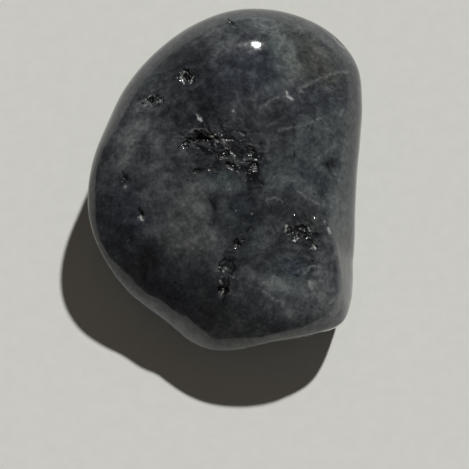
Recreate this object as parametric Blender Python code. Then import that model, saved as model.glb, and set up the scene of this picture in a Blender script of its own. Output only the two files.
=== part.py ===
"""A tumbled larvikite stone: one piece of dark feldspar rock, about 16 x 20 x 8 mm, worn smooth and polished.

The stone lies on a small flat worn patch. Its plan outline, the height of its widest line, and the roundness
of its edges change on the way round, and a gently domed top slopes down towards -Y.
"""

import math

import bmesh
import bpy
import numpy as np

MM = 0.001

# Driving dimensions, in millimetres. Angles run round the stone from +X towards +Y, in degrees.
# Plan outline: distance from the stone's heart to its widest line.
OUTLINE = (
    (0, 7.67), (15, 8.16), (28, 9.08), (40, 10.13), (52, 10.55), (66, 10.42), (82, 9.9), (100, 9.08),
    (120, 8.27), (140, 7.72), (160, 7.39), (180, 7.72), (205, 8.45), (230, 8.92), (238, 9.0), (246, 9.18),
    (252, 9.47), (258, 9.89), (265, 10.27), (272, 10.37), (285, 10.39), (298, 10.81), (307, 11.0),
    (315, 10.26), (321, 9.56), (328, 8.8), (344, 7.86),
)
# Height of the widest line above the resting face.
GIRDLE_HEIGHT = (
    (0, 3.8), (60, 4.6), (100, 4.9), (140, 4.6), (170, 5.1), (192, 5.35), (215, 4.75),
    (235, 3.38), (246, 2.93), (254, 2.58), (272, 3.6), (288, 4.46), (305, 4.0), (320, 2.1), (340, 3.1),
)
# Width over which the top rounds down into the side.
SHOULDER_WIDTH = (
    (0, 2.8), (30, 2.4), (60, 3.6), (90, 3.4), (110, 4.6), (130, 4.2), (150, 2.6), (165, 1.7),
    (182, 0.95), (192, 0.95), (202, 1.4), (212, 1.95), (222, 2.5), (232, 3.6), (240, 5.1), (248, 5.0),
    (256, 5.2), (264, 3.7), (272, 2.5), (280, 1.9), (288, 1.2), (296, 0.9), (304, 0.97), (312, 1.22),
    (322, 2.0), (335, 2.45),
)
# Width over which the side rounds in under the stone.
UNDERCUT_WIDTH = (
    (0, 2.6), (45, 3.4), (95, 3.0), (150, 3.4), (200, 2.7), (250, 2.3), (285, 1.8), (320, 1.1),
)
# How full the two roundings are: near 1 the widest line is an edge, near 2 it is round.
SHOULDER_ROUNDNESS = (
    (0, 2.2), (160, 2.2), (190, 2.05), (215, 1.6), (232, 1.64), (245, 1.95), (256, 1.76), (268, 1.39),
    (290, 1.78), (315, 1.4),
)
UNDERCUT_ROUNDNESS = (
    (0, 1.8), (160, 1.8), (190, 2.2), (215, 2.35), (240, 1.35), (265, 1.12), (290, 1.75), (315, 2.1),
)

# Domed top: its highest point, its two radii, and a slight twist from corner to corner.
TOP_X, TOP_Y, TOP_HEIGHT = -1.0, 4.5, 8.3
TOP_RADIUS_X = 20.0
TOP_RADIUS_Y = 35.0
TOP_TWIST = 0.006

# Underside: a shallow bowl that dips below the table plane, where it is worn flat.
UNDERSIDE_DIP = 0.3
UNDERSIDE_Y = 0.5
UNDERSIDE_RADIUS_X = 25.0
UNDERSIDE_RADIUS_Y = 40.0

# Broad shallow waves left by the tumbling: length of the wave, its direction, and its height.
WAVES = ((7.3, 20, 0.05), (5.1, 95, 0.035), (9.4, 150, 0.05))

# Hollows that the polish did not reach: place in plan, length, width, turn and depth.
HOLLOWS = (
    (-1.4, 0.9, 1.6, 0.8, 0, 0.22),
    (-2.2, 4.3, 1.0, 0.9, 30, 0.14),
    (-4.2, 3.0, 1.1, 0.7, 25, 0.12),
    (0.1, -6.1, 1.1, 0.9, 60, 0.12),
    (-0.2, -7.4, 1.2, 0.8, 80, 0.18),
    (4.0, -4.2, 1.8, 1.4, 40, 0.16),
)
# A chip in the far right edge: direction round the stone, height, radius and depth.
CHIP_ANGLE, CHIP_HEIGHT, CHIP_RADIUS, CHIP_DEPTH = 49, 5.6, 0.6, 0.14

# Mesh: the ball that is shaped into the stone, and the rays that find its skin.
BALL_SUBDIVISIONS = 5
BALL_RADII = (8.0, 10.3, 4.2)
HEART_HEIGHT = 3.8
LONGEST_RAY = 16.0
HALVINGS = 30
REFINED_MARGIN = 0.25
# Rims that need a finer mesh: fullest shoulder that counts, and how far in from the widest line it goes.
TIGHT_RIM = (2.15, 0.4)
TIGHTEST_RIM = (1.7, 0.08)
LOWEST_RIM = 1.2
FLAT_TOLERANCE = 0.001

COLOUR = (0.045, 0.05, 0.056, 1.0)
ROUGHNESS = 0.22
REFRACTIVE_INDEX = 1.55


def clear_scene():
    """Remove everything that the file opened with."""
    for thing in list(bpy.data.objects):
        bpy.data.objects.remove(thing, do_unlink=True)


def around(stations, angle):
    """Value at each angle on a smooth closed curve through stations of (angle, value)."""
    at = np.array([station[0] for station in stations], float)
    value = np.array([station[1] for station in stations], float)
    angle = np.mod(angle, 360.0)
    here = np.searchsorted(at, angle, side="right") - 1
    count = len(stations)
    before, after, beyond = (here - 1) % count, (here + 1) % count, (here + 2) % count
    step = np.mod(at[after] - at[here], 360.0)
    step_before = np.mod(at[here] - at[before], 360.0)
    step_after = np.mod(at[beyond] - at[after], 360.0)
    slope_here = (value[after] - value[before]) / (step + step_before) * step
    slope_after = (value[beyond] - value[here]) / (step + step_after) * step
    t = np.mod(angle - at[here], 360.0) / step
    rise = t * t * (3 - 2 * t)
    bend_here = t * (1 - t) ** 2
    bend_after = t * t * (t - 1)
    return value[here] * (1 - rise) + value[after] * rise + bend_here * slope_here + bend_after * slope_after


def rounded(part, roundness):
    """Rise of a rounded edge, from 0 at the widest line to 1 where the top or underside takes over."""
    inward = 1 - np.clip(part, 0.0, 1.0)
    return (1 - inward**roundness) ** (1 / roundness)


def waves(x, y):
    """Height of the broad waves at a place in plan."""
    total = np.zeros_like(x)
    for length, direction, height in WAVES:
        turn = math.radians(direction)
        along = x * math.cos(turn) + y * math.sin(turn)
        total += height * np.sin(2 * math.pi * along / length)
    return total


def top_height(x, y):
    """Height of the domed top, carried on past the edge."""
    across, along = x - TOP_X, y - TOP_Y
    dome = across**2 / (2 * TOP_RADIUS_X) + along**2 / (2 * TOP_RADIUS_Y)
    return TOP_HEIGHT - dome - TOP_TWIST * across * along + waves(x, y)


def underside_height(x, y):
    """Height of the shallow underside, carried on past the edge."""
    bowl = x**2 / (2 * UNDERSIDE_RADIUS_X) + (y - UNDERSIDE_Y) ** 2 / (2 * UNDERSIDE_RADIUS_Y)
    return bowl - UNDERSIDE_DIP


def in_stone(points):
    """Whether each point lies inside the stone, before its hollows."""
    x, y, z = points.T
    angle = np.degrees(np.arctan2(y, x))
    inward = around(OUTLINE, angle) - np.hypot(x, y)
    girdle = around(GIRDLE_HEIGHT, angle)
    shoulder = rounded(inward / around(SHOULDER_WIDTH, angle), around(SHOULDER_ROUNDNESS, angle))
    undercut = rounded(inward / around(UNDERCUT_WIDTH, angle), around(UNDERCUT_ROUNDNESS, angle))
    top = girdle + (top_height(x, y) - girdle) * shoulder
    bottom = girdle - (girdle - underside_height(x, y)) * undercut
    return (inward > 0) & (z < top) & (z > np.maximum(bottom, 0.0))


def move_to_skin(bm):
    """Slide every vertex along its ray from the stone's heart until it lies on the skin."""
    heart = np.array((0.0, 0.0, HEART_HEIGHT))
    offsets = np.array([vertex.co for vertex in bm.verts]) - heart
    rays = offsets / np.linalg.norm(offsets, axis=1, keepdims=True)
    near = np.zeros(len(rays))
    far = np.full(len(rays), LONGEST_RAY)
    for _ in range(HALVINGS):
        middle = (near + far) / 2
        inside = in_stone(heart + rays * middle[:, None])
        near = np.where(inside, middle, near)
        far = np.where(inside, far, middle)
    for vertex, place in zip(bm.verts, heart + rays * near[:, None]):
        vertex.co = place
        if vertex.co.z < FLAT_TOLERANCE:
            vertex.co.z = 0.0


def hollow_depths(places):
    """Depth of the top's hollows at each place: full in the middle of one and nothing past its rim."""
    depth = np.zeros(len(places))
    for x, y, length, width, turn, deepest in HOLLOWS:
        cosine, sine = math.cos(math.radians(turn)), math.sin(math.radians(turn))
        across, along = places[:, 0] - x, places[:, 1] - y
        reach = np.hypot(
            (across * cosine + along * sine) / (length / 2),
            (along * cosine - across * sine) / (width / 2),
        )
        bowl = deepest * (1 - np.clip(reach, 0, 1) ** 2) ** 1.5
        depth += np.where(places[:, 2] > HEART_HEIGHT, bowl, 0.0)
    return depth


def chip_centre():
    """Middle of the chip on the skin."""
    turn = math.radians(CHIP_ANGLE)
    reach = float(around(OUTLINE, np.array((CHIP_ANGLE,)))[0])
    return np.array((reach * math.cos(turn), reach * math.sin(turn), CHIP_HEIGHT))


def near_hollow(places):
    """Whether each place is in or beside a hollow or the chip."""
    fine = np.linalg.norm(places - chip_centre(), axis=1) < CHIP_RADIUS + REFINED_MARGIN
    for x, y, length, width, _, _ in HOLLOWS:
        near = np.hypot(places[:, 0] - x, places[:, 1] - y) < max(length, width) / 2 + REFINED_MARGIN
        fine |= near & (places[:, 2] > HEART_HEIGHT)
    return fine


def on_rim(places, fullest, band):
    """Whether each place is within a band beside the widest line, where the shoulder is no fuller than given."""
    angle = np.degrees(np.arctan2(places[:, 1], places[:, 0]))
    inward = around(OUTLINE, angle) - np.hypot(places[:, 0], places[:, 1])
    tight = around(SHOULDER_ROUNDNESS, angle) < fullest
    return tight & (inward < band) & (places[:, 2] > LOWEST_RIM)


def refine(bm, is_fine):
    """Split the edges whose middles need it, and bring the new vertices to the skin."""
    middles = np.array([(edge.verts[0].co + edge.verts[1].co) / 2 for edge in bm.edges])
    edges = [edge for edge, fine in zip(bm.edges, is_fine(middles)) if fine]
    bmesh.ops.subdivide_edges(bm, edges=edges, cuts=1)
    bmesh.ops.triangulate(bm, faces=bm.faces[:])
    move_to_skin(bm)


def press_hollows(bm):
    """Push the skin in at the hollows and at the chip."""
    bm.normal_update()
    places = np.array([vertex.co for vertex in bm.verts])
    depths = hollow_depths(places)
    heart = np.array((0.0, 0.0, HEART_HEIGHT))
    nearness = 1 - np.clip(np.linalg.norm(places - chip_centre(), axis=1) / CHIP_RADIUS, 0, 1)
    chip_depths = CHIP_DEPTH * nearness * (2 - nearness)
    chip_way = chip_centre() - heart
    chip_way /= np.linalg.norm(chip_way)
    moves = np.outer(chip_depths, chip_way)
    for vertex, depth, move in zip(bm.verts, depths, moves):
        vertex.co.z -= depth
        vertex.co.x -= move[0]
        vertex.co.y -= move[1]
        vertex.co.z -= move[2]


def centre_in_plan(bm):
    """Put the middle of the stone's box over the origin, with the resting face at height nothing."""
    places = np.array([vertex.co for vertex in bm.verts])
    middle = (places.min(axis=0) + places.max(axis=0)) / 2
    bmesh.ops.translate(bm, verts=bm.verts, vec=(-middle[0], -middle[1], 0.0))


def stone_material():
    """Dark grey polished feldspar."""
    material = bpy.data.materials.new("polished_larvikite")
    material.use_nodes = True
    shader = material.node_tree.nodes["Principled BSDF"]
    shader.inputs["Base Color"].default_value = COLOUR
    shader.inputs["Roughness"].default_value = ROUGHNESS
    shader.inputs["Metallic"].default_value = 0.0
    shader.inputs["IOR"].default_value = REFRACTIVE_INDEX
    return material


def make_stone():
    """Shape a ball into the stone."""
    bm = bmesh.new()
    bmesh.ops.create_icosphere(bm, subdivisions=BALL_SUBDIVISIONS, radius=1.0)
    bmesh.ops.scale(bm, verts=bm.verts, vec=BALL_RADII)
    bmesh.ops.translate(bm, verts=bm.verts, vec=(0.0, 0.0, HEART_HEIGHT))
    move_to_skin(bm)
    refine(bm, lambda places: on_rim(places, *TIGHT_RIM))
    refine(bm, lambda places: on_rim(places, *TIGHTEST_RIM))
    refine(bm, near_hollow)
    refine(bm, near_hollow)
    press_hollows(bm)
    centre_in_plan(bm)
    bmesh.ops.scale(bm, verts=bm.verts, vec=(MM, MM, MM))
    bmesh.ops.recalc_face_normals(bm, faces=bm.faces[:])
    mesh = bpy.data.meshes.new("larvikite_stone")
    bm.to_mesh(mesh)
    bm.free()
    mesh.shade_smooth()
    mesh.set_sharp_from_angle(angle=math.radians(50))
    mesh.materials.append(stone_material())
    stone = bpy.data.objects.new("larvikite_stone", mesh)
    bpy.context.collection.objects.link(stone)
    return stone


clear_scene()
make_stone()
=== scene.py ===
"""Looks of a tumbled larvikite stone: dark polished feldspar with pale clouds, dark grains and open pits.

The stone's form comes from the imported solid. Its mesh is made finer, eased until no facet shows, and carved
where the polish did not reach. Where each marking lies is kept on the mesh, and the finish turns that into
rock.
"""

import logging
import math
from dataclasses import dataclass
from enum import Enum
from typing import Callable

import bmesh
import bpy
import numpy as np
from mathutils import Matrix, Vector, noise


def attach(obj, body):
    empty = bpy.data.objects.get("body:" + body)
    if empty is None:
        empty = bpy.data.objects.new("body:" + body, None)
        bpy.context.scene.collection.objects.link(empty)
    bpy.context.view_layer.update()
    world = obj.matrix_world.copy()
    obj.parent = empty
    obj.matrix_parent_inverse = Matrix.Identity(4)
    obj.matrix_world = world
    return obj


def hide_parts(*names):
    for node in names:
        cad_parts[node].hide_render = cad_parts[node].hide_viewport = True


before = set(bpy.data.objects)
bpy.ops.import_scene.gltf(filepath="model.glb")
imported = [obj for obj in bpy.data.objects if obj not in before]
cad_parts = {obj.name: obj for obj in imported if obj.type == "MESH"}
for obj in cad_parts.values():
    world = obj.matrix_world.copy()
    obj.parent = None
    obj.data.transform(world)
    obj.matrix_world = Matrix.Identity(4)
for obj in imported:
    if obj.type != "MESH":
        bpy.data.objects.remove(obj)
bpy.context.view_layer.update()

LOG = logging.getLogger("larvikite")
MM = 0.001

Shade = tuple[float, float, float]
OPAQUE = 1.0

# How sharply clouds and scars end: the powers of their bell curves.
CLOUD_FALL = 2.6
SCAR_FALL = 2.5
# Noise at which a slit would open outside the scars, and the step over which it reaches its full depth.
SLIT_LEVEL = 0.75
SLIT_STEP = 0.22
# Least squared length of a line, so that a grain of one point divides by no zero.
LEAST_LENGTH = 1e-9
# How far the noise is moved between the two ways in which it moves a place.
OTHER_WAY = 17.0
# Spreads the cells of a pit's floor, so that each draws its own tilt, and the mean of what they draw.
CELL_SPREAD = 7.3
MEAN_DRAW = Vector((0.5, 0.5, 0.5))


class Kind(Enum):
    """What a cloud in the rock changes."""

    TONE = "tone"
    NAVY = "navy"
    TEAL = "teal"
    BROWN = "brown"
    SPECKLE = "speckle"


class Face(Enum):
    """Which broad face of the stone a marking lies on: 1 looks up and -1 looks down."""

    TOP = 1
    UNDERSIDE = -1


class Mark(Enum):
    """Mesh attribute that carries one kind of small marking."""

    PIT = "pit"
    PALE_AND_GLINT = "pale_line_and_glint"
    DARK = "dark_line"


@dataclass(frozen=True)
class Oval:
    """An oval in plan, in millimetres, with its long way turned from +X towards +Y in degrees."""

    x: float
    y: float
    length: float
    width: float
    turn: float

    def reach(self, places: np.ndarray) -> np.ndarray:
        """Distance from the middle, as a share of the way to the rim.

        Args:
            places: points in millimetres, one row each.

        Returns:
            0 in the middle, 1 on the rim and more outside.
        """
        cosine, sine = math.cos(math.radians(self.turn)), math.sin(math.radians(self.turn))
        across, along = places[:, 0] - self.x, places[:, 1] - self.y
        return np.hypot(
            (across * cosine + along * sine) / (self.length / 2),
            (along * cosine - across * sine) / (self.width / 2),
        )


@dataclass(frozen=True)
class Cloud:
    """A soft patch inside the rock: its kind, its oval on the top and its strength in the middle."""

    kind: Kind
    oval: Oval
    strength: float

    def weight(self, places: np.ndarray) -> np.ndarray:
        """Strength of the cloud at each place, fading out past its rim."""
        return self.strength * np.exp(-(self.oval.reach(places) ** CLOUD_FALL))


@dataclass(frozen=True)
class Pit:
    """A hole that the polish did not reach: its oval, its depth in millimetres and the face it is in."""

    oval: Oval
    depth: float
    face: Face = Face.TOP


@dataclass(frozen=True)
class Scar:
    """A patch where grains broke out: its oval, how open its middle is, and its depth in millimetres."""

    oval: Oval
    share: float
    depth: float

    def carved(self, places: np.ndarray, field: np.ndarray) -> np.ndarray:
        """Depth of the patch's ragged slits at each place.

        Args:
            places: points in millimetres, one row each.
            field: noise that gives the slits their form, from about -1 to 1.

        Returns:
            The depths, in millimetres.
        """
        limit = SLIT_LEVEL - self.share * np.exp(-(self.oval.reach(places) ** SCAR_FALL))
        return self.depth * eased(field, limit, limit + SLIT_STEP)


@dataclass(frozen=True)
class Swell:
    """A very low hump in the polish: its place in plan, its height and its reach, in millimetres."""

    x: float
    y: float
    height: float
    reach_x: float
    reach_y: float

    def rise(self, places: np.ndarray) -> np.ndarray:
        """Height of the hump at each place."""
        away = np.hypot((places[:, 0] - self.x) / self.reach_x, (places[:, 1] - self.y) / self.reach_y)
        return self.height * np.exp(-(away**2) / 2)


@dataclass(frozen=True)
class Trace:
    """A thin line or small grain: its points in plan, its width in millimetres and its strength."""

    mark: Mark
    points: tuple[tuple[float, float], ...]
    width: float
    strength: float

    def distance(self, places: np.ndarray) -> np.ndarray:
        """Distance in plan from each place to the line.

        Args:
            places: points in millimetres, one row each.

        Returns:
            The distances, in millimetres.
        """
        nearest = np.full(len(places), np.inf)
        ends = self.points[1:] or self.points
        for start, end in zip(self.points, ends):
            start, way = np.array(start), np.subtract(end, start)
            offset = places[:, :2] - start
            share = np.clip(offset @ way / max(way @ way, LEAST_LENGTH), 0.0, 1.0)
            nearest = np.minimum(nearest, np.linalg.norm(offset - share[:, None] * way, axis=1))
        return nearest


def cloud(kind: Kind, *row: float) -> Cloud:
    """A cloud from one row: x, y, length, width, turn, strength."""
    return Cloud(kind, Oval(*row[:5]), row[5])


def scar(*row: float) -> Scar:
    """A scar from one row: x, y, length, width, turn, share, depth."""
    return Scar(Oval(*row[:5]), *row[5:])


def pit(*row: float, face: Face = Face.TOP) -> Pit:
    """A pit from one row: x, y, length, width, turn, depth."""
    return Pit(Oval(*row[:5]), row[5], face)


CLOUDS = (
    # Pale feldspar down the left side.
    cloud(Kind.TONE, -5.7, 0.9, 3.6, 1.4, 62, 0.29),
    cloud(Kind.TONE, -4.7, -0.5, 2.2, 1.1, 160, 0.22),
    cloud(Kind.TONE, -3.4, 1.2, 2.2, 1.8, 0, 0.18),
    cloud(Kind.TONE, -4.8, 2.6, 2.0, 1.2, 40, 0.10),
    # Pale feldspar in the lower middle.
    cloud(Kind.TONE, -2.0, -2.6, 3.0, 1.9, 70, 0.17),
    cloud(Kind.TONE, -2.2, -4.7, 2.4, 1.2, 150, 0.22),
    cloud(Kind.TONE, -1.0, -4.4, 1.6, 1.8, 90, 0.18),
    cloud(Kind.TONE, -3.8, -3.8, 1.4, 1.0, 0, 0.16),
    cloud(Kind.TONE, -3.6, -1.9, 2.0, 1.4, 0, 0.12),
    # Pale streaks at the lower right.
    cloud(Kind.TONE, 3.0, -7.0, 2.8, 1.3, 155, 0.32),
    cloud(Kind.TONE, 3.2, -8.4, 1.8, 0.9, 150, 0.18),
    cloud(Kind.TONE, 5.2, -7.2, 2.4, 2.4, 0, 0.20),
    cloud(Kind.TONE, 5.0, -5.2, 2.4, 2.0, 60, 0.12),
    cloud(Kind.TONE, 1.6, -4.7, 1.6, 1.3, 60, 0.10),
    # Grey-green feldspar on the right.
    cloud(Kind.TONE, 2.9, -0.9, 2.2, 1.6, 45, 0.14),
    cloud(Kind.TONE, 4.6, 0.6, 3.2, 2.2, 60, 0.12),
    cloud(Kind.TONE, 4.4, -1.9, 2.0, 0.9, 150, 0.20),
    cloud(Kind.TONE, 6.3, 2.0, 1.4, 4.0, 0, 0.14),
    cloud(Kind.TONE, 6.2, -2.2, 1.4, 3.6, 0, 0.16),
    cloud(Kind.TONE, -0.3, -1.4, 2.2, 1.0, 10, 0.16),
    # Pale clouds towards the thick end, partly painted sheen round the highlight.
    cloud(Kind.TONE, -0.2, 6.9, 1.8, 2.4, 0, 0.20),
    cloud(Kind.TONE, 3.4, 6.0, 1.6, 4.4, 10, 0.26),
    cloud(Kind.TONE, 2.0, 7.9, 2.4, 1.2, 0, 0.20),
    cloud(Kind.TONE, 5.4, 6.0, 3.0, 2.4, 150, 0.02),
    cloud(Kind.TONE, 2.6, 8.9, 7.0, 2.0, -14, 0.04),
    cloud(Kind.TONE, 6.0, 6.9, 2.6, 3.2, -40, 0.06),
    cloud(Kind.TONE, 5.9, -8.0, 2.2, 2.2, 0, 0.18),
    cloud(Kind.TONE, 4.9, 7.0, 3.0, 1.6, -40, 0.08),
    cloud(Kind.TONE, -3.9, 6.1, 3.2, 1.2, 48, 0.08),
    # Dark rock.
    cloud(Kind.TONE, -3.7, -6.9, 6.6, 1.7, -34, -0.22),
    cloud(Kind.TONE, -5.9, -3.1, 2.6, 3.4, 0, -0.07),
    cloud(Kind.TONE, -4.6, -5.2, 2.0, 1.4, 0, -0.10),
    cloud(Kind.TONE, 0.6, -8.8, 4.0, 1.0, 10, 0.02),
    cloud(Kind.TONE, 0.4, -7.4, 3.4, 2.4, 0, -0.02),
    cloud(Kind.TONE, -1.4, 3.2, 2.8, 3.0, 0, -0.22),
    cloud(Kind.TONE, -3.0, 1.9, 1.2, 2.2, 30, -0.12),
    cloud(Kind.TONE, -2.9, 6.0, 2.4, 3.0, 50, -0.14),
    cloud(Kind.TONE, 1.6, 5.0, 3.0, 2.4, 0, -0.03),
    cloud(Kind.TONE, 0.2, 0.4, 4.8, 2.6, -15, -0.18),
    cloud(Kind.TONE, 1.5, -1.0, 1.0, 2.2, 0, -0.20),
    cloud(Kind.TONE, 1.0, -3.4, 1.6, 3.0, 10, -0.12),
    cloud(Kind.TONE, 3.8, 2.9, 3.0, 1.4, 20, -0.12),
    cloud(Kind.TONE, 2.6, -2.9, 1.2, 0.9, 0, -0.14),
    cloud(Kind.TONE, 4.1, -4.2, 2.2, 1.8, 40, -0.10),
    cloud(Kind.TONE, 6.0, 0.1, 0.7, 0.6, 0, -0.26),
    cloud(Kind.TONE, -0.6, -2.6, 0.5, 1.0, 20, -0.18),
    # Tints: the navy and teal are partly painted schiller sheen, fixed in place.
    cloud(Kind.NAVY, 1.4, 5.2, 3.4, 2.6, 0, 0.8),
    cloud(Kind.NAVY, 0.2, 4.0, 2.4, 2.0, 0, 0.3),
    cloud(Kind.NAVY, -3.6, -7.0, 5.0, 1.4, -34, 0.6),
    cloud(Kind.NAVY, -5.6, -3.4, 2.6, 4.0, 0, 0.5),
    cloud(Kind.NAVY, 3.9, -6.1, 1.0, 0.7, 0, 0.8),
    cloud(Kind.NAVY, 5.0, 3.6, 2.4, 1.4, 0, 0.3),
    cloud(Kind.TEAL, -0.3, -1.3, 2.2, 1.2, 0, 0.8),
    cloud(Kind.TEAL, 1.0, -3.6, 1.8, 3.4, 0, 0.6),
    cloud(Kind.TEAL, 3.0, -0.8, 2.2, 2.2, 0, 0.5),
    cloud(Kind.TEAL, 5.6, 0.5, 3.0, 4.0, 0, 0.4),
    cloud(Kind.TEAL, 3.4, -6.4, 2.6, 2.0, 0, 0.6),
    cloud(Kind.TEAL, 3.2, 6.6, 2.4, 4.0, 0, 0.5),
    cloud(Kind.TEAL, -4.2, 4.8, 1.4, 1.0, 50, 0.5),
    cloud(Kind.TEAL, 6.2, -2.5, 1.4, 4.0, 0, 0.5),
    cloud(Kind.TEAL, 1.2, 8.4, 2.4, 0.8, 0, 0.6),
    cloud(Kind.BROWN, 5.2, 5.8, 3.2, 2.4, 0, 0.8),
    cloud(Kind.BROWN, 4.2, 7.6, 3.0, 1.4, -20, 0.6),
    cloud(Kind.BROWN, 4.6, -3.6, 3.0, 2.0, 0, 0.35),
    cloud(Kind.BROWN, 0.6, 0.6, 4.0, 2.0, 0, 0.35),
    cloud(Kind.BROWN, -2.0, -3.0, 3.0, 4.0, 0, 0.25),
    # Where dark grains crowd together.
    cloud(Kind.SPECKLE, -0.2, 0.5, 5.4, 2.6, -18, 1.0),
    cloud(Kind.SPECKLE, 1.5, -0.7, 1.2, 2.4, 0, 0.8),
    cloud(Kind.SPECKLE, 4.3, -4.0, 2.8, 2.6, 30, 0.6),
    cloud(Kind.SPECKLE, -4.2, 3.4, 2.0, 1.2, 20, 0.7),
    cloud(Kind.SPECKLE, -2.0, 4.6, 1.8, 1.8, 0, 0.5),
    cloud(Kind.SPECKLE, 0.0, -6.4, 1.4, 3.2, 0, 0.5),
    cloud(Kind.SPECKLE, 4.4, -5.9, 2.2, 1.2, 20, 0.6),
)

PITS = (
    pit(-1.45, 1.05, 1.5, 0.46, 3, 0.24),
    pit(-0.75, 1.15, 0.7, 0.30, -20, 0.10),
    pit(-2.25, 0.65, 0.45, 0.60, 10, 0.10),
    pit(-2.25, 4.76, 0.80, 0.95, 10, 0.15),
    pit(-4.38, 3.50, 0.70, 0.45, 30, 0.13),
    pit(-3.75, 3.42, 0.45, 0.30, 10, 0.08),
    pit(0.05, -5.95, 0.95, 0.80, 60, 0.03),
    pit(-0.25, -7.25, 0.62, 0.75, 100, 0.18),
    pit(4.05, -4.00, 1.00, 0.85, 30, 0.11),
    pit(3.45, -4.00, 0.35, 0.50, 10, 0.08),
    pit(4.85, -4.75, 0.40, 0.50, 30, 0.10),
    pit(0.60, -4.75, 0.50, 0.42, 20, 0.12),
    pit(-4.80, -3.05, 0.34, 0.26, 0, 0.08),
    pit(0.20, -0.45, 0.80, 0.45, -15, 0.12),
    pit(1.55, -0.45, 0.62, 0.75, 20, 0.14),
    pit(-1.60, -0.75, 0.75, 0.36, 10, 0.08),
    pit(-0.10, 0.15, 0.45, 0.30, 30, 0.08),
    pit(1.30, 0.25, 0.50, 0.34, 60, 0.09),
    pit(0.22, 8.20, 0.16, 0.62, 35, 0.08),
    pit(-5.75, -1.00, 0.40, 0.30, 50, 0.06),
    pit(2.3, 4.4, 1.1, 0.8, 25, 0.14, face=Face.UNDERSIDE),
    pit(-3.1, -3.6, 0.9, 0.5, 70, 0.12, face=Face.UNDERSIDE),
    pit(0.6, -5.6, 0.7, 0.6, 10, 0.10, face=Face.UNDERSIDE),
    pit(-4.2, 1.8, 0.6, 0.4, 120, 0.09, face=Face.UNDERSIDE),
    pit(4.4, -1.2, 0.5, 0.7, 40, 0.10, face=Face.UNDERSIDE),
)

SCARS = (
    scar(-0.5, 0.55, 4.8, 2.4, -16, 0.71, 0.05),
    scar(1.3, -0.1, 1.4, 2.6, 5, 0.72, 0.06),
    scar(-1.2, -0.7, 3.4, 1.5, -10, 0.66, 0.04),
    scar(4.2, -4.0, 2.3, 2.0, 30, 0.66, 0.06),
    scar(4.7, -5.6, 1.4, 1.0, 20, 0.60, 0.05),
    scar(-4.2, 3.35, 1.9, 0.9, 20, 0.62, 0.07),
    scar(-2.3, 4.6, 1.2, 1.3, 0, 0.62, 0.07),
    scar(0.0, -6.5, 1.1, 2.6, -8, 0.62, 0.07),
    scar(0.9, -4.3, 0.9, 1.5, -20, 0.62, 0.06),
    scar(-4.8, -2.9, 0.8, 0.9, 0, 0.60, 0.05),
    scar(-5.7, -1.0, 0.9, 0.7, 0, 0.58, 0.05),
)

SWELLS = (Swell(2.20, 6.6, 0.075, 0.8, 1.2),)

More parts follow.
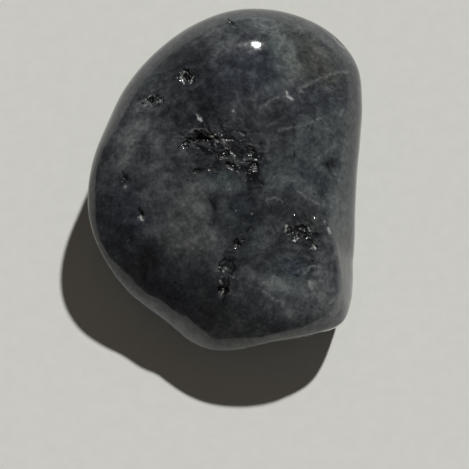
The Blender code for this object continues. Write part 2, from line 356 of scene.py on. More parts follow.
TRACES = (
    # Pale veins that cross the right side.
    Trace(Mark.PALE_AND_GLINT, ((7.0, 5.75), (6.4, 5.55), (5.5, 5.1), (4.7, 4.6), (4.2, 4.3)), 0.24, 0.30),
    Trace(Mark.PALE_AND_GLINT, ((6.1, 2.95), (5.2, 2.5), (4.4, 2.05), (3.6, 1.8), (2.9, 1.6)), 0.20, 0.24),
    Trace(Mark.PALE_AND_GLINT, ((2.2, 3.0), (2.4, 3.35), (2.8, 3.55), (3.4, 3.75)), 0.16, 0.30),
    Trace(Mark.PALE_AND_GLINT, ((3.42, 3.95), (3.45, 3.7), (3.72, 3.55)), 0.16, 0.85),
    Trace(Mark.PALE_AND_GLINT, ((4.1, 4.2), (4.3, 4.05)), 0.34, 0.34),
    # Bright flecks and grain edges: painted glints, with some pale grains among them.
    Trace(Mark.PALE_AND_GLINT, ((-1.79, 2.51), (-1.56, 2.23)), 0.13, 0.50),
    Trace(Mark.PALE_AND_GLINT, ((-1.56, 2.23), (-1.42, 2.05)), 0.20, 1.00),
    Trace(Mark.PALE_AND_GLINT, ((-2.45, 5.1), (-2.6, 4.75), (-2.42, 4.3)), 0.12, 0.80),
    Trace(Mark.PALE_AND_GLINT, ((-2.1, 5.1), (-1.92, 4.75), (-2.05, 4.3)), 0.10, 0.60),
    Trace(Mark.PALE_AND_GLINT, ((-2.15, 1.35), (-1.8, 1.6), (-1.2, 1.55), (-0.8, 1.25)), 0.10, 0.36),
    Trace(Mark.PALE_AND_GLINT, ((-0.95, 1.15), (-0.6, 1.25)), 0.12, 0.75),
    Trace(Mark.PALE_AND_GLINT, ((0.75, 1.35), (0.95, 1.2)), 0.12, 0.45),
    Trace(Mark.PALE_AND_GLINT, ((0.35, 2.6),), 0.17, 0.90),
    Trace(Mark.PALE_AND_GLINT, ((1.6, -0.55),), 0.16, 0.95),
    Trace(Mark.PALE_AND_GLINT, ((1.3, 0.1),), 0.14, 0.70),
    Trace(Mark.PALE_AND_GLINT, ((-4.8, -3.25), (-4.72, -3.4)), 0.16, 0.90),
    Trace(Mark.PALE_AND_GLINT, ((-5.7, -1.45),), 0.17, 0.80),
    Trace(Mark.PALE_AND_GLINT, ((-5.55, -4.35),), 0.15, 0.50),
    Trace(Mark.PALE_AND_GLINT, ((3.35, -3.75), (3.3, -4.05)), 0.15, 0.75),
    Trace(Mark.PALE_AND_GLINT, ((5.55, -3.35),), 0.15, 0.75),
    Trace(Mark.PALE_AND_GLINT, ((5.7, -3.75), (5.8, -3.95)), 0.17, 0.95),
    Trace(Mark.PALE_AND_GLINT, ((4.9, -4.65), (4.95, -4.85)), 0.18, 0.85),
    Trace(Mark.PALE_AND_GLINT, ((4.55, -3.75), (4.65, -4.0)), 0.12, 0.60),
    Trace(Mark.PALE_AND_GLINT, ((3.3, -4.6), (3.8, -5.0), (4.3, -4.9)), 0.16, 0.16),
    Trace(Mark.PALE_AND_GLINT, ((4.35, -6.3), (4.7, -5.9), (5.15, -5.8)), 0.20, 0.34),
    Trace(Mark.PALE_AND_GLINT, ((4.65, -6.7), (4.75, -7.1)), 0.30, 0.40),
    Trace(Mark.PALE_AND_GLINT, ((2.0, -7.3), (2.6, -7.7), (3.1, -7.9)), 0.26, 0.28),
    Trace(Mark.PALE_AND_GLINT, ((3.9, -1.7), (4.5, -2.15), (5.2, -2.45)), 0.20, 0.28),
    Trace(Mark.PALE_AND_GLINT, ((2.2, -2.35), (2.7, -2.2), (3.1, -2.45)), 0.15, 0.28),
    Trace(Mark.PALE_AND_GLINT, ((-0.35, -6.75), (-0.15, -7.05), (-0.3, -7.35)), 0.10, 0.80),
    Trace(Mark.PALE_AND_GLINT, ((0.4, -6.55),), 0.15, 0.60),
    Trace(Mark.PALE_AND_GLINT, ((1.4, -3.15),), 0.15, 0.55),
    Trace(Mark.PALE_AND_GLINT, ((0.5, -3.0),), 0.16, 0.40),
    Trace(Mark.PALE_AND_GLINT, ((0.05, -1.75), (0.25, -1.75)), 0.22, 0.40),
    Trace(Mark.PALE_AND_GLINT, ((-3.9, 3.3), (-3.65, 3.4)), 0.16, 0.50),
    Trace(Mark.PALE_AND_GLINT, ((-4.45, 3.6), (-4.3, 3.75)), 0.12, 0.50),
    # Dark grain boundaries and cracks.
    Trace(Mark.DARK, ((-0.4, -5.75), (-0.1, -5.55), (0.3, -5.65), (0.5, -6.0), (0.3, -6.35)), 0.12, 0.8),
    Trace(Mark.DARK, ((0.3, -6.35), (-0.1, -6.3), (-0.4, -6.05), (-0.4, -5.75)), 0.10, 0.7),
    Trace(Mark.DARK, ((0.1, -6.45), (0.15, -6.9), (-0.05, -7.3), (-0.2, -7.8)), 0.14, 0.7),
    Trace(Mark.DARK, ((1.25, -3.95), (1.15, -4.1)), 0.26, 0.7),
    Trace(Mark.DARK, ((-0.95, -2.35), (-0.6, -2.85)), 0.20, 0.6),
    Trace(Mark.DARK, ((0.05, 8.5), (0.2, 8.25), (0.45, 7.95)), 0.12, 0.9),
    Trace(Mark.DARK, ((6.0, 0.15), (6.05, -0.05)), 0.36, 0.5),
    Trace(Mark.DARK, ((-5.85, -0.55), (-5.7, -0.95), (-5.35, -1.15)), 0.18, 0.6),
    Trace(Mark.DARK, ((-4.9, -2.75), (-4.7, -3.0)), 0.24, 0.8),
    Trace(Mark.DARK, ((-2.3, 5.65), (-1.6, 5.5), (-1.1, 5.6)), 0.12, 0.5),
    Trace(Mark.DARK, ((-5.05, 6.02), (-4.48, 6.49), (-3.89, 6.89), (-3.42, 7.21)), 0.10, 0.55),
    Trace(Mark.DARK, ((-5.89, 4.5), (-5.57, 5.28), (-5.25, 5.94)), 0.09, 0.40),
)


def noise_at(places: np.ndarray, size: float, shift: float) -> np.ndarray:
    """Smooth noise at each place.

    Args:
        places: points in millimetres, one row each.
        size: width of the noise's humps, in millimetres.
        shift: how far the noise is moved, so that two uses differ.

    Returns:
        One value a place, from about -1 to 1.
    """
    offset = Vector((shift, -shift, 2 * shift))
    return np.array([noise.noise(Vector(place) / size + offset) for place in places])


def wandered(places: np.ndarray, size: float, reach: float, shift: float) -> np.ndarray:
    """The places, each moved in plan by smooth noise.

    Args:
        places: points in millimetres, one row each.
        size: width of the noise's humps, in millimetres.
        reach: furthest move, in millimetres.
        shift: how far the noise is moved, so that two uses differ.

    Returns:
        The moved points.
    """
    moved = places.copy()
    moved[:, 0] += reach * noise_at(places, size, shift)
    moved[:, 1] += reach * noise_at(places, size, shift + OTHER_WAY)
    return moved


def eased(value: np.ndarray, low: float, high: float) -> np.ndarray:
    """Smooth step from 0 at `low` to 1 at `high`."""
    share = np.clip((value - low) / (high - low), 0.0, 1.0)
    return share * share * (3 - 2 * share)


class Recipe:
    """Adds shader nodes to one material or world, and joins them."""

    def __init__(self, owner: bpy.types.Material | bpy.types.World, shader: str) -> None:
        """Start from the one shader that a new material or world has.

        Args:
            owner: the material or world.
            shader: name of its shader's node.
        """
        owner.use_nodes = True
        self.tree = owner.node_tree
        self.shader = self.tree.nodes[shader]

    def put(self, node: bpy.types.Node, socket: str | int, value: object) -> None:
        """Set one input of a node to a number, a colour or another node's output.

        Args:
            node: the node.
            socket: the input's name or place.
            value: what goes in.
        """
        if isinstance(value, bpy.types.NodeSocket):
            self.tree.links.new(value, node.inputs[socket])
        else:
            node.inputs[socket].default_value = value

    def add(
        self, kind: str, output: str | int, inputs: dict[str | int, object], **settings: object
    ) -> bpy.types.NodeSocket:
        """Add a node.

        Args:
            kind: the node's type, without its ShaderNode prefix.
            output: which output is wanted.
            inputs: values by the input's name or place.
            **settings: the node's own settings.

        Returns:
            The wanted output.
        """
        node = self.tree.nodes.new("ShaderNode" + kind)
        for name, value in settings.items():
            setattr(node, name, value)
        for socket, value in inputs.items():
            self.put(node, socket, value)
        return node.outputs[output]

    def attribute(self, name: str) -> bpy.types.NodeSocket:
        """Read a number that the mesh carries."""
        return self.add("Attribute", "Fac", {}, attribute_name=name)

    def mapped(
        self, turn: float = 0.0, scale: tuple[float, float, float] = (1.0, 1.0, 1.0)
    ) -> bpy.types.NodeSocket:
        """Place on the stone, in millimetres, turned about the vertical and stretched.

        Args:
            turn: turn about the vertical, in degrees.
            scale: stretch along each way after the turn.

        Returns:
            The place's vector.
        """
        place = self.add("TexCoord", "Object", {})
        turned = self.add("Mapping", "Vector", {
            "Vector": place,
            "Rotation": (0.0, 0.0, math.radians(turn)),
            "Scale": (1 / MM, 1 / MM, 1 / MM),
        })
        return self.add("Mapping", "Vector", {"Vector": turned, "Scale": scale})

    def noise(
        self, place: bpy.types.NodeSocket, scale: float, detail: float, rough: float = 0.5, bend: float = 0.0
    ) -> bpy.types.NodeSocket:
        """Noise in the rock, with `scale` humps to the millimetre, marbled where it is bent."""
        inputs = {"Vector": place, "Scale": scale, "Detail": detail, "Roughness": rough, "Distortion": bend}
        return self.add("TexNoise", 0, inputs)

    def step(
        self, value: bpy.types.NodeSocket, low: float, high: float, to_low: float = 0.0, to_high: float = 1.0
    ) -> bpy.types.NodeSocket:
        """Smooth step of a value.

        Args:
            value: what is stepped.
            low: where the step starts.
            high: where it ends.
            to_low: result before the step.
            to_high: result after it.

        Returns:
            The stepped value.
        """
        return self.add("MapRange", "Result", {
            "Value": value, "From Min": low, "From Max": high, "To Min": to_low, "To Max": to_high,
        }, interpolation_type="SMOOTHSTEP")

    def math(
        self, operation: str, first: object, second: object, third: object = 0.0
    ) -> bpy.types.NodeSocket:
        """One sum of two or three values."""
        return self.add("Math", 0, {0: first, 1: second, 2: third}, operation=operation)

    def blend(self, share: object, first: object, second: object) -> bpy.types.NodeSocket:
        """Number that goes from the first to the second as the share rises."""
        return self.add("Mix", 0, {0: share, 2: first, 3: second}, data_type="FLOAT")

    def mix(self, share: object, first: object, second: object) -> bpy.types.NodeSocket:
        """Colour that goes from the first to the second as the share rises."""
        return self.add("Mix", 2, {0: share, 6: first, 7: second}, data_type="RGBA")

    def tint(self, share: object, base: object, colour: Shade) -> bpy.types.NodeSocket:
        """The base colour multiplied by another where the share is full."""
        inputs = {0: share, 6: base, 7: (*colour, OPAQUE)}
        return self.add("Mix", 2, inputs, data_type="RGBA", blend_type="MULTIPLY")

    def ramp(
        self, value: bpy.types.NodeSocket, stops: tuple[tuple[float, Shade], ...]
    ) -> bpy.types.NodeSocket:
        """Colour read from a row of stops.

        Args:
            value: where on the row to read.
            stops: (place, colour) pairs in rising order.

        Returns:
            The colour.
        """
        colour = self.add("ValToRGB", "Color", {"Fac": value})
        elements = colour.node.color_ramp.elements
        while len(elements) < len(stops):
            elements.new(0.5)
        for element, (place, shade) in zip(elements, stops):
            element.position = place
            element.color = (*shade, OPAQUE)
        return colour

    def bump(
        self, height: bpy.types.NodeSocket, strength: float, depth: float, **over: bpy.types.NodeSocket
    ) -> bpy.types.NodeSocket:
        """Relief of a height, `depth` millimetres deep, over an earlier one where its Normal is given."""
        return self.add("Bump", 0, {"Height": height, "Strength": strength, "Distance": depth * MM, **over})


@dataclass(frozen=True)
class LarvikiteFinish:
    """Polished larvikite: its shades from dark to pale, its tints, and how smooth it is."""

    shades: tuple[tuple[float, Shade], ...] = (
        (0.00, (0.0065, 0.0076, 0.0098)),
        (0.20, (0.0150, 0.0173, 0.0212)),
        (0.45, (0.0360, 0.0408, 0.0465)),
        (0.70, (0.0790, 0.0870, 0.0925)),
        (1.00, (0.1750, 0.1850, 0.1860)),
    )
    # The navy and teal tints are partly painted schiller sheen.
    navy: Shade = (0.88, 0.91, 1.10)
    teal: Shade = (0.88, 1.02, 1.00)
    brown: Shade = (1.12, 1.06, 0.88)
    # Black for dark grains and cracks, and for the painted shade in pits and slits.
    dark_grain_and_pit_shade_black: Shade = (0.0045, 0.0045, 0.0055)
    # White for the pale veins and for the painted glints.
    pale_vein_and_glint_white: Shade = (0.42, 0.44, 0.43)
    mottled: float = 0.80
    patched: float = 0.75
    fibrous: float = 0.34
    grainy: float = 0.40
    crumbled: float = 2.4
    crumb_level: float = 0.52
    speck_crowding: float = 0.13
    glint_crowding: float = 0.10
    polished: float = 0.075
    polish_spread: tuple[float, float] = (0.7, 1.5)
    unpolished: float = 0.34
    refractive_index: float = 1.55

    def material(self) -> bpy.types.Material:
        """Make the stone's material.

        Returns:
            The material.
        """
        material = bpy.data.materials.new("polished_larvikite")
        recipe = Recipe(material, "Principled BSDF")
        recipe.put(recipe.shader, "Base Color", self._colour(recipe))
        recipe.put(recipe.shader, "Roughness", self._roughness(recipe))
        recipe.put(recipe.shader, "Normal", self._relief(recipe))
        recipe.shader.inputs["IOR"].default_value = self.refractive_index
        return material

    def _tone(self, recipe: Recipe) -> bpy.types.NodeSocket:
        """Tone of the feldspar: its clouds, with mottling, fibres and fine grain over them.

        Args:
            recipe: the material's nodes.

        Returns:
            The tone, from 0 for the darkest shade to 1 for the palest.
        """
        place = recipe.mapped()
        mottle = recipe.noise(place, scale=1.1, detail=6.0, rough=0.60, bend=0.5)
        patchy = recipe.noise(place, scale=2.3, detail=4.0, rough=0.55, bend=0.9)
        grain = recipe.noise(place, scale=6.0, detail=3.0, rough=0.7)
        fibre = self._fibres(recipe)
        layers = ((mottle, self.mottled), (patchy, self.patched), (fibre, self.fibrous), (grain, self.grainy))
        slanted = recipe.mapped(turn=8, scale=(1.0, 1.5, 1.2))
        crumbs = recipe.noise(slanted, scale=1.9, detail=4.0, rough=0.6, bend=0.7)
        crumbs = recipe.math("SUBTRACT", crumbs, self.crumb_level)
        crumbs = recipe.math("MULTIPLY", recipe.attribute(Kind.SPECKLE.value), crumbs)
        tone = recipe.math("MULTIPLY_ADD", crumbs, self.crumbled, recipe.attribute(Kind.TONE.value))
        for layer, amount in layers:
            tone = recipe.math("MULTIPLY_ADD", layer, amount, tone)
        return recipe.math("SUBTRACT", tone, sum(amount for _, amount in layers) / 2)

    def _fibres(self, recipe: Recipe) -> bpy.types.NodeSocket:
        """Fibres of the feldspar, which run one way in some crystals and across it in others.

        Args:
            recipe: the material's nodes.

        Returns:
            The fibres, from 0 to 1.
        """
        along_place = recipe.mapped(turn=-38, scale=(1.2, 3.4, 2.0))
        across_place = recipe.mapped(turn=62, scale=(1.2, 3.0, 2.0))
        along = recipe.noise(along_place, scale=1.4, detail=3.0, rough=0.6, bend=0.4)
        across = recipe.noise(across_place, scale=1.5, detail=3.0, rough=0.6, bend=0.4)
        crystals = recipe.noise(recipe.mapped(), scale=0.45, detail=1.0)
        return recipe.blend(recipe.step(crystals, low=0.42, high=0.58), along, across)

    def _colour(self, recipe: Recipe) -> bpy.types.NodeSocket:
        """Colour of the rock with its tints, dark grains, pale veins, painted glints, and pits that are dark
        partly from painted shade.

        Args:
            recipe: the material's nodes.

        Returns:
            The colour.
        """
        place = recipe.mapped()
        black, white = (*self.dark_grain_and_pit_shade_black, OPAQUE), (*self.pale_vein_and_glint_white, OPAQUE)
        colour = recipe.ramp(self._tone(recipe), self.shades)
        for kind, tint in ((Kind.NAVY, self.navy), (Kind.TEAL, self.teal), (Kind.BROWN, self.brown)):
            colour = recipe.tint(recipe.attribute(kind.value), colour, tint)
        crowd = recipe.attribute(Kind.SPECKLE.value)
        specks = recipe.noise(place, scale=2.6, detail=3.0, rough=0.55, bend=0.6)
        specks = recipe.math("MULTIPLY_ADD", crowd, self.speck_crowding, specks)
        colour = recipe.mix(recipe.step(specks, low=0.67, high=0.75, to_high=0.80), colour, black)
        # White specks: painted glints, more of them where the dark grains crowd.
        glints = recipe.noise(recipe.mapped(turn=20, scale=(1.0, 1.6, 1.3)), scale=5.2, detail=2.0)
        glints = recipe.math("MULTIPLY_ADD", crowd, self.glint_crowding, glints)
        colour = recipe.mix(recipe.step(glints, low=0.73, high=0.80, to_high=0.40), colour, white)
        lines = recipe.step(recipe.attribute(Mark.DARK.value), low=0.1, high=0.8, to_high=0.95)
        colour = recipe.mix(lines, colour, black)
        # Pits and slits go dark: partly dark grains, partly painted shade that deepens with the carved depth.
        pits = recipe.step(recipe.attribute(Mark.PIT.value), low=0.1, high=0.7, to_high=0.75)
        colour = recipe.mix(pits, colour, black)
        # Pale marks: real pale veins, and painted glints on grain edges.
        ragged = recipe.noise(place, scale=6.0, detail=2.0)
        ragged = recipe.step(ragged, low=0.25, high=0.6, to_low=0.35, to_high=1.15)
        pale = recipe.math("MULTIPLY", recipe.attribute(Mark.PALE_AND_GLINT.value), ragged)
        return recipe.mix(recipe.step(pale, low=0.02, high=1.0), colour, white)

    def _roughness(self, recipe: Recipe) -> bpy.types.NodeSocket:
        """Polish: high on the feldspar, uneven by grain, and missing in the pits.

        Args:
            recipe: the material's nodes.

        Returns:
            The roughness.
        """
        uneven = recipe.noise(recipe.mapped(), scale=2.2, detail=4.0, rough=0.6)
        glossy, dull = (self.polished * share for share in self.polish_spread)
        polish = recipe.step(uneven, low=0.35, high=0.7, to_low=glossy, to_high=dull)
        pits = recipe.step(recipe.attribute(Mark.PIT.value), low=0.05, high=0.5)
        return recipe.blend(pits, polish, self.unpolished)

    def _relief(self, recipe: Recipe) -> bpy.types.NodeSocket:
        """Fine relief: a faint unevenness in the polish, and broken faces in the pits.

        Args:
            recipe: the material's nodes.

        Returns:
            The relief's normal.
        """
        place = recipe.mapped()
        faint = recipe.bump(recipe.noise(place, scale=3.0, detail=3.0), strength=0.25, depth=0.004)
        broken = recipe.add("TexVoronoi", "Distance", {"Vector": place, "Scale": 5.0})
        in_pits = recipe.math("MULTIPLY", broken, recipe.attribute(Mark.PIT.value))
        return recipe.bump(in_pits, strength=0.5, depth=0.05, Normal=faint)


@dataclass(frozen=True)
class FloorFinish:
    """Matt pale floor."""

    colour: Shade = (0.742, 0.749, 0.712)
    shade_in_tooth: float = 0.97
    roughness: float = 0.95
    gloss: float = 0.2

    def material(self) -> bpy.types.Material:
        """Make the floor's material, with a faint uneven tooth.

        Returns:
            The material.
        """
        material = bpy.data.materials.new("pale_floor")
        recipe = Recipe(material, "Principled BSDF")
        tooth = recipe.noise(recipe.mapped(), scale=1.2, detail=4.0, rough=0.6)
        shaded = tuple(self.shade_in_tooth * part for part in self.colour)
        raised = recipe.step(tooth, low=0.3, high=0.7)
        colour = recipe.mix(raised, (*shaded, OPAQUE), (*self.colour, OPAQUE))
        recipe.put(recipe.shader, "Base Color", colour)
        recipe.put(recipe.shader, "Normal", recipe.bump(tooth, strength=0.5, depth=0.02))
        recipe.shader.inputs["Roughness"].default_value = self.roughness
        recipe.shader.inputs["Specular IOR Level"].default_value = self.gloss
        return material


@dataclass
class Stone:
    """The polished stone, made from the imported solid. Lengths are in millimetres."""

    name: str = "polished_larvikite"
    solid: str = "larvikite_stone"
    finish: LarvikiteFinish = LarvikiteFinish()
    weld: float = 0.001
    easing_passes: int = 3
    easing_steps: tuple[float, float] = (0.5, -0.52)
    skin_edge: float = 0.16
    mark_edge: float = 0.075
    pit_edge: float = 0.042
    mark_margin: float = 0.12
    scar_fine_reach: float = 1.3
    scar_carved_reach: float = 1.5
    lowest_skin: float = 2.0
    rim_share: float = 0.22
    rim_fade: float = 0.3
    pit_upness: float = 0.2
    pit_wall: tuple[float, float] = (0.62, 1.0)
    fully_broken_depth: float = 0.12
    fully_pitted_depth: float = 0.06
    floor_roughness: float = 0.02
    facet: float = 0.24
    facet_tilt: float = 0.9
    facet_step: float = 0.05
    slit_stretch: tuple[float, float, float] = (0.6, 1.25, 1.0)
    mean_tone: float = 0.47
    side_tone: float = 0.08
    side_contrast: float = 0.26
    # Painted reflection: a paler tone on the steep rim at the lower left, in place of the lit floor that it
    # mirrors.
    painted_reflection_tone: float = 0.54
    painted_reflection_middle: float = 252.0
    painted_reflection_reach: tuple[float, float] = (34.0, 66.0)
    painted_reflection_upness: tuple[float, float] = (0.5, 0.72)
    cloud_contrast: float = 1.2

    def build(self) -> bpy.types.Object:
        """Make the stone's object, dressed and carved.

        Returns:
            The object.
        """
        bm = self._eased_copy()
        self._split(bm, self._on_upper_skin, self.skin_edge)
        self._split(bm, self._beside_mark, self.mark_edge)
        self._split(bm, self._beside_pit, self.pit_edge)
        self._split(bm, self._beside_pit, self.pit_edge)
        places, upness = self._places(bm), self._upness(bm)
        depth = self._pit_depths(places, upness)
        swell = sum(hump.rise(places) for hump in SWELLS) * (upness > self.rim_share)
        self._carve(bm, depth - swell)
        mesh = self._to_mesh(bm)
        self._paint(mesh, places, upness, depth)
        mesh.materials.append(self.finish.material())
        stone = bpy.data.objects.new(self.name, mesh)
        bpy.context.scene.collection.objects.link(stone)
        return stone

    def _eased_copy(self) -> bmesh.types.BMesh:
        """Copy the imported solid, merge it, make it finer and ease it until its facets are gone.

        Returns:
            The copy, in millimetres.
        """
        bm = bmesh.new()
        bm.from_mesh(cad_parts[self.solid].data)
        bmesh.ops.scale(bm, verts=bm.verts, vec=(1 / MM, 1 / MM, 1 / MM))
        bmesh.ops.remove_doubles(bm, verts=bm.verts, dist=self.weld)
        bmesh.ops.recalc_face_normals(bm, faces=bm.faces)
        bmesh.ops.subdivide_edges(bm, edges=bm.edges, cuts=1, use_grid_fill=True, smooth=1.0)
        bmesh.ops.triangulate(bm, faces=bm.faces[:])
        for _ in range(self.easing_passes):
            self._ease(bm)
        return bm

    def _ease(self, bm: bmesh.types.BMesh) -> None:
        """Even the mesh out: each vertex steps towards its neighbours, then back, so nothing shrinks.

        Args:
            bm: the mesh.
        """
        for step in self.easing_steps:
            bmesh.ops.smooth_vert(
                bm, verts=bm.verts, factor=step, use_axis_x=True, use_axis_y=True, use_axis_z=True
            )

    def _split(
        self, bm: bmesh.types.BMesh, wanted: Callable[[np.ndarray], np.ndarray], longest: float
    ) -> None:
        """Halve the edges that are too long for the detail they cross.

        Args:
            bm: the mesh.
            wanted: says which of some places need the detail.
            longest: longest edge that may stay, in millimetres.
        """
        ends = np.array([[vertex.co for vertex in edge.verts] for edge in bm.edges])
        long = np.linalg.norm(ends[:, 0] - ends[:, 1], axis=1) > longest
        chosen = long & wanted(ends.mean(axis=1))
        edges = [edge for edge, cut in zip(bm.edges, chosen) if cut]
        bmesh.ops.subdivide_edges(bm, edges=edges, cuts=1, smooth=1.0)
        bmesh.ops.triangulate(bm, faces=bm.faces[:])
        self._ease(bm)

    def _on_upper_skin(self, places: np.ndarray) -> np.ndarray:
        """Whether each place is on the part of the skin that is seen from above or from the side."""
        return places[:, 2] > self.lowest_skin

    def _beside_mark(self, places: np.ndarray) -> np.ndarray:
        """Find the places in or beside a small marking.

        Args:
            places: points in millimetres, one row each.

        Returns:
            Whether each place is one.
        """
        near = self._beside_pit(places)
        above = self._on_upper_skin(places)
        for patch in SCARS:
            near |= above & (patch.oval.reach(places) < self.scar_fine_reach)
        for trace in TRACES:
            near |= above & (trace.distance(places) < trace.width / 2 + self.mark_margin)
        return near

    def _beside_pit(self, places: np.ndarray) -> np.ndarray:
        """Find the places in or beside a pit.

        Args:
            places: points in millimetres, one row each.

        Returns:
            Whether each place is one.
        """
        near = np.zeros(len(places), bool)
        for hole in PITS:
            on_face = self._on_upper_skin(places) == (hole.face is Face.TOP)
            narrowest = min(hole.oval.length, hole.oval.width) / 2
            near |= on_face & (hole.oval.reach(places) < 1 + self.mark_margin / narrowest)
        return near

    def _places(self, bm: bmesh.types.BMesh) -> np.ndarray:
        """Every vertex's place, in millimetres."""
        return np.array([vertex.co for vertex in bm.verts])

    def _upness(self, bm: bmesh.types.BMesh) -> np.ndarray:
        """How far each vertex's normal points up, from -1 to 1."""
        bm.normal_update()
        return np.array([vertex.normal.z for vertex in bm.verts])

    def _pit_depths(self, places: np.ndarray, upness: np.ndarray) -> np.ndarray:
        """Depth carved at each place: ragged ovals with steep walls and a broken floor, and the scars.

        Args:
            places: points in millimetres, one row each.
            upness: how far the normals there point up.

        Returns:
            The depths, in millimetres.
        """
        depth = np.zeros(len(places))
        near = np.flatnonzero(self._beside_pit(places))
        here = places[near]
        bent = wandered(here, size=0.45, reach=0.16, shift=23.0)
        ragged = 0.30 * noise_at(here, size=0.26, shift=3.0) + 0.16 * noise_at(here, size=0.11, shift=9.0)
        broken = self._broken_floor(here)
        total = np.zeros(len(here))
        for hole in PITS:
            on_face = upness[near] * hole.face.value > self.pit_upness
            wall = 1 - eased(hole.oval.reach(bent) + ragged, *self.pit_wall)
            carved = wall * (hole.depth + broken * min(1.0, hole.depth / self.fully_broken_depth))
            total = np.maximum(total, np.where(on_face, carved, 0.0))
        depth[near] = np.maximum(total, 0.0)
        return np.maximum(depth, self._scar_depths(places, upness))

    def _scar_depths(self, places: np.ndarray, upness: np.ndarray) -> np.ndarray:
        """Depth of the ragged slits where grains broke out of the top.

        Args:
            places: points in millimetres, one row each.
            upness: how far the normals there point up.

        Returns:
            The depths, in millimetres.
        """
        depth = np.zeros(len(places))
        near = np.zeros(len(places), bool)
        for patch in SCARS:
            near |= (upness > self.rim_share) & (patch.oval.reach(places) < self.scar_carved_reach)
        here = places[near]
        drawn = wandered(here, size=0.5, reach=0.22, shift=61.0) * np.array(self.slit_stretch)
        field = 0.8 * noise_at(drawn, size=0.34, shift=67.0) + 0.5 * noise_at(drawn, size=0.15, shift=71.0)
        floor = 1 + 0.5 * noise_at(here, size=0.12, shift=73.0)
        depth[near] = np.max([patch.carved(here, field) for patch in SCARS], axis=0) * floor
        return depth

    def _broken_floor(self, places: np.ndarray) -> np.ndarray:
        """Unevenness of a pit's floor: small cleaved faces, each tilted its own way.

        Args:
            places: points in millimetres, one row each.

        Returns:
            The added depths, in millimetres.
        """
        added = np.empty(len(places))
        for index, place in enumerate(places):
            _, cells = noise.voronoi(Vector(place) / self.facet)
            cell = cells[0]
            lean = noise.cell_vector(cell * CELL_SPREAD) - MEAN_DRAW
            away = lean.dot(Vector(place) / self.facet - cell)
            added[index] = away * self.facet * self.facet_tilt + self.facet_step * lean.z
        return added + self.floor_roughness * noise_at(places, size=0.07, shift=5.0)

    def _carve(self, bm: bmesh.types.BMesh, depth: np.ndarray) -> None:
        """Push each vertex in along its normal, and none below the floor.

        Args:
            bm: the mesh.
            depth: how far each vertex goes in, in millimetres, or out where that is negative.
        """
        normals = [vertex.normal.copy() for vertex in bm.verts]
        for vertex, normal, amount in zip(bm.verts, normals, depth):
            vertex.co -= normal * float(amount)
            vertex.co.z = max(vertex.co.z, 0.0)

    def _to_mesh(self, bm: bmesh.types.BMesh) -> bpy.types.Mesh:
        """Turn the worked mesh into the stone's own, in metres, and let go of the worked one.

        Args:
            bm: the worked mesh, in millimetres.

        Returns:
            The stone's mesh.
        """
        bmesh.ops.scale(bm, verts=bm.verts, vec=(MM, MM, MM))
        mesh = bpy.data.meshes.new(self.name)
        bm.to_mesh(mesh)
        bm.free()
        mesh.shade_smooth()
        return mesh

    def _paint(self, mesh: bpy.types.Mesh, places: np.ndarray, upness: np.ndarray, depth: np.ndarray) -> None:
        """Store on the mesh where every marking lies.

        Args:
            mesh: the stone's mesh.
            places: its vertices before carving, in millimetres.
            upness: how far their normals point up.
            depth: how deep each was carved.
        """
        on_top = eased(upness, self.rim_share, self.rim_share + self.rim_fade)
        moved = wandered(places, size=1.3, reach=0.55, shift=2.0)
        moved = wandered(moved, size=0.45, reach=0.16, shift=7.0)
        fields = {kind: np.zeros(len(places)) for kind in Kind}
        for patch in CLOUDS:
            fields[patch.kind] += patch.weight(moved)
        fields[Kind.TONE] *= self.cloud_contrast
        around = self._clouds_all_round(places)
        fields = {kind: on_top * field + (1 - on_top) * around[kind] for kind, field in fields.items()}
        # The tone also takes the painted reflection on the lower-left rim.
        fields[Kind.TONE] += self.mean_tone + self._painted_rim_reflection(places, upness)
        for kind, field in fields.items():
            self._store(mesh, kind.value, field)
        for mark in (Mark.PALE_AND_GLINT, Mark.DARK):
            self._store(mesh, mark.value, on_top * self._lines(places, mark))
        self._store(mesh, Mark.PIT.value, eased(depth, 0.0, self.fully_pitted_depth))

    def _clouds_all_round(self, places: np.ndarray) -> dict[Kind, np.ndarray]:
        """Clouds for the sides and the underside, which no marking on the top reaches.

        Args:
            places: points in millimetres, one row each.

        Returns:
            The strength of every kind at each place.
        """
        broad = noise_at(places, size=3.6, shift=31.0) + 0.6 * noise_at(places, size=1.7, shift=37.0)
        return {
            Kind.TONE: self.side_tone + self.side_contrast * broad,
            Kind.NAVY: eased(noise_at(places, size=3.2, shift=41.0), low=0.1, high=0.6),
            Kind.TEAL: eased(noise_at(places, size=3.0, shift=47.0), low=0.0, high=0.6),
            Kind.BROWN: eased(noise_at(places, size=3.8, shift=53.0), low=0.15, high=0.6),
            Kind.SPECKLE: eased(noise_at(places, size=2.4, shift=59.0), low=0.1, high=0.5),
        }

    def _painted_rim_reflection(self, places: np.ndarray, upness: np.ndarray) -> np.ndarray:
        """Painted reflection: paleness painted on the steep rim at the lower left, in place of the lit floor
        that it mirrors.

        Args:
            places: points in millimetres, one row each.
            upness: how far the normals there point up.

        Returns:
            The tone to add, which fades out round the rim to both sides of its middle and towards the top.
        """
        angle = np.degrees(np.arctan2(places[:, 1], places[:, 0]))
        away = np.abs((angle - self.painted_reflection_middle + 180) % 360 - 180)
        steep = 1 - eased(upness, *self.painted_reflection_upness)
        return self.painted_reflection_tone * steep * (1 - eased(away, *self.painted_reflection_reach))

    def _lines(self, places: np.ndarray, mark: Mark) -> np.ndarray:
        """Strength of every line of one kind at each place, brightest in the line's middle.

        Args:
            places: points in millimetres, one row each.
            mark: the kind of line.

        Returns:
            The strengths, 0 away from every line.
        """
        moved = wandered(places, size=0.22, reach=0.05, shift=13.0)
        total = np.zeros(len(places))
        for trace in TRACES:
            if trace.mark is mark:
                share = np.exp(-((trace.distance(moved) / (trace.width / 2)) ** 2))
                total = np.maximum(total, trace.strength * share)
        return total

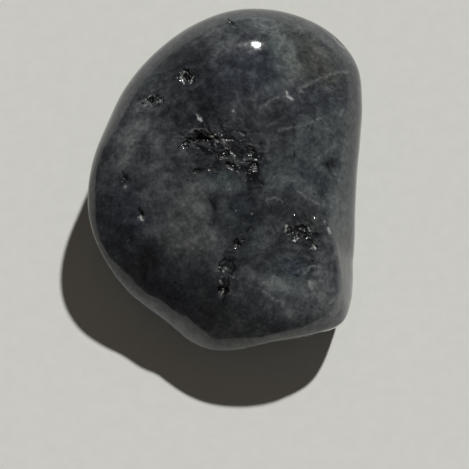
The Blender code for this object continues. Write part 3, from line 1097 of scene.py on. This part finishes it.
    def _store(self, mesh: bpy.types.Mesh, name: str, values: np.ndarray) -> None:
        """Keep one number a vertex on the mesh, by name."""
        mesh.attributes.new(name, "FLOAT", "POINT").data.foreach_set("value", values.astype(np.float32))


@dataclass
class Floor:
    """Wide plain floor, just under the stone. Lengths are in metres."""

    half_width: float = 1.5
    gap: float = 0.00002
    finish: FloorFinish = FloorFinish()

    def build(self) -> None:
        """Make the floor."""
        bm = bmesh.new()
        bmesh.ops.create_grid(bm, x_segments=2, y_segments=2, size=self.half_width)
        bmesh.ops.translate(bm, verts=bm.verts, vec=(0.0, 0.0, -self.gap))
        mesh = bpy.data.meshes.new("floor")
        bm.to_mesh(mesh)
        bm.free()
        mesh.materials.append(self.finish.material())
        floor = bpy.data.objects.new("floor", mesh)
        bpy.context.scene.collection.objects.link(floor)


@dataclass
class Studio:
    """One compact lamp high to the far right, and a dim room around."""

    towards_lamp: tuple[float, float, float] = (0.37, 0.66, 1.0)
    lamp_strength: float = 2.85
    lamp_spread: float = 2.3
    lamp_colour: Shade = (1.0, 0.995, 0.98)
    room_light: Shade = (0.066, 0.057, 0.050)
    skyline_light: Shade = (0.28, 0.28, 0.28)
    skyline_height: float = 0.40
    far_side_glow: float = 0.08

    def build(self) -> None:
        """Hang the lamp and light the room."""
        lamp = bpy.data.lights.new("key_lamp", "SUN")
        lamp.energy = self.lamp_strength
        lamp.angle = math.radians(self.lamp_spread)
        lamp.color = self.lamp_colour
        holder = bpy.data.objects.new("key_lamp", lamp)
        holder.rotation_euler = Vector(self.towards_lamp).to_track_quat("Z", "Y").to_euler()
        bpy.context.scene.collection.objects.link(holder)
        bpy.context.scene.world = self._room()
        bpy.context.scene.view_settings.view_transform = "Standard"

    def _room(self) -> bpy.types.World:
        """Make the room: dim overhead, and brighter low down on the lamp's side.

        Returns:
            The room.
        """
        room = bpy.data.worlds.new("dim_room")
        recipe = Recipe(room, "Background")
        way = recipe.add("TexCoord", "Generated", {})
        height = recipe.add("SeparateXYZ", "Z", {0: way})
        low_down = recipe.step(height, low=0.0, high=self.skyline_height, to_low=1.0, to_high=0.0)
        lamp_side = Vector((*self.towards_lamp[:2], 0.0)).normalized()
        facing = recipe.add("VectorMath", "Value", {0: way, 1: lamp_side}, operation="DOT_PRODUCT")
        beside_lamp = recipe.step(facing, low=-0.5, high=0.9, to_low=self.far_side_glow)
        glow = recipe.math("MULTIPLY", low_down, beside_lamp)
        colour = recipe.mix(glow, (*self.room_light, OPAQUE), (*self.skyline_light, OPAQUE))
        recipe.put(recipe.shader, "Color", colour)
        return room


@dataclass
class PhotoCamera:
    """Camera that sees the stone from above, tilted a little towards -Y. Lengths are in millimetres."""

    aim: tuple[float, float, float] = (0.4386, -2.2342, 0.0)
    tilt: float = 16.0
    distance: float = 92.4
    focal_pixels: float = 1528.0
    frame_pixels: float = 469.0
    sensor: float = 36.0
    nearest: float = 1.0
    furthest: float = 10_000.0

    def build(self) -> None:
        """Set the camera up and make it the scene's own."""
        data = bpy.data.cameras.new("camera")
        data.sensor_width = self.sensor
        data.lens = self.sensor * self.focal_pixels / self.frame_pixels
        data.clip_start = self.nearest * MM
        data.clip_end = self.furthest * MM
        camera = bpy.data.objects.new("camera", data)
        tilt = math.radians(self.tilt)
        back = Vector((0.0, -math.sin(tilt), math.cos(tilt))) * self.distance
        camera.location = (Vector(self.aim) + back) * MM
        camera.rotation_euler = (tilt, 0.0, 0.0)
        bpy.context.scene.collection.objects.link(camera)
        bpy.context.scene.camera = camera


def main() -> None:
    logging.basicConfig(level=logging.INFO, format="%(name)s: %(message)s")
    PhotoCamera().build()
    Studio().build()
    Floor().build()
    stone = Stone().build()
    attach(stone, "root")
    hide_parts("larvikite_stone")
    LOG.info("%s: %d triangles", stone.name, len(stone.data.polygons))


if __name__ == "__main__":
    main()
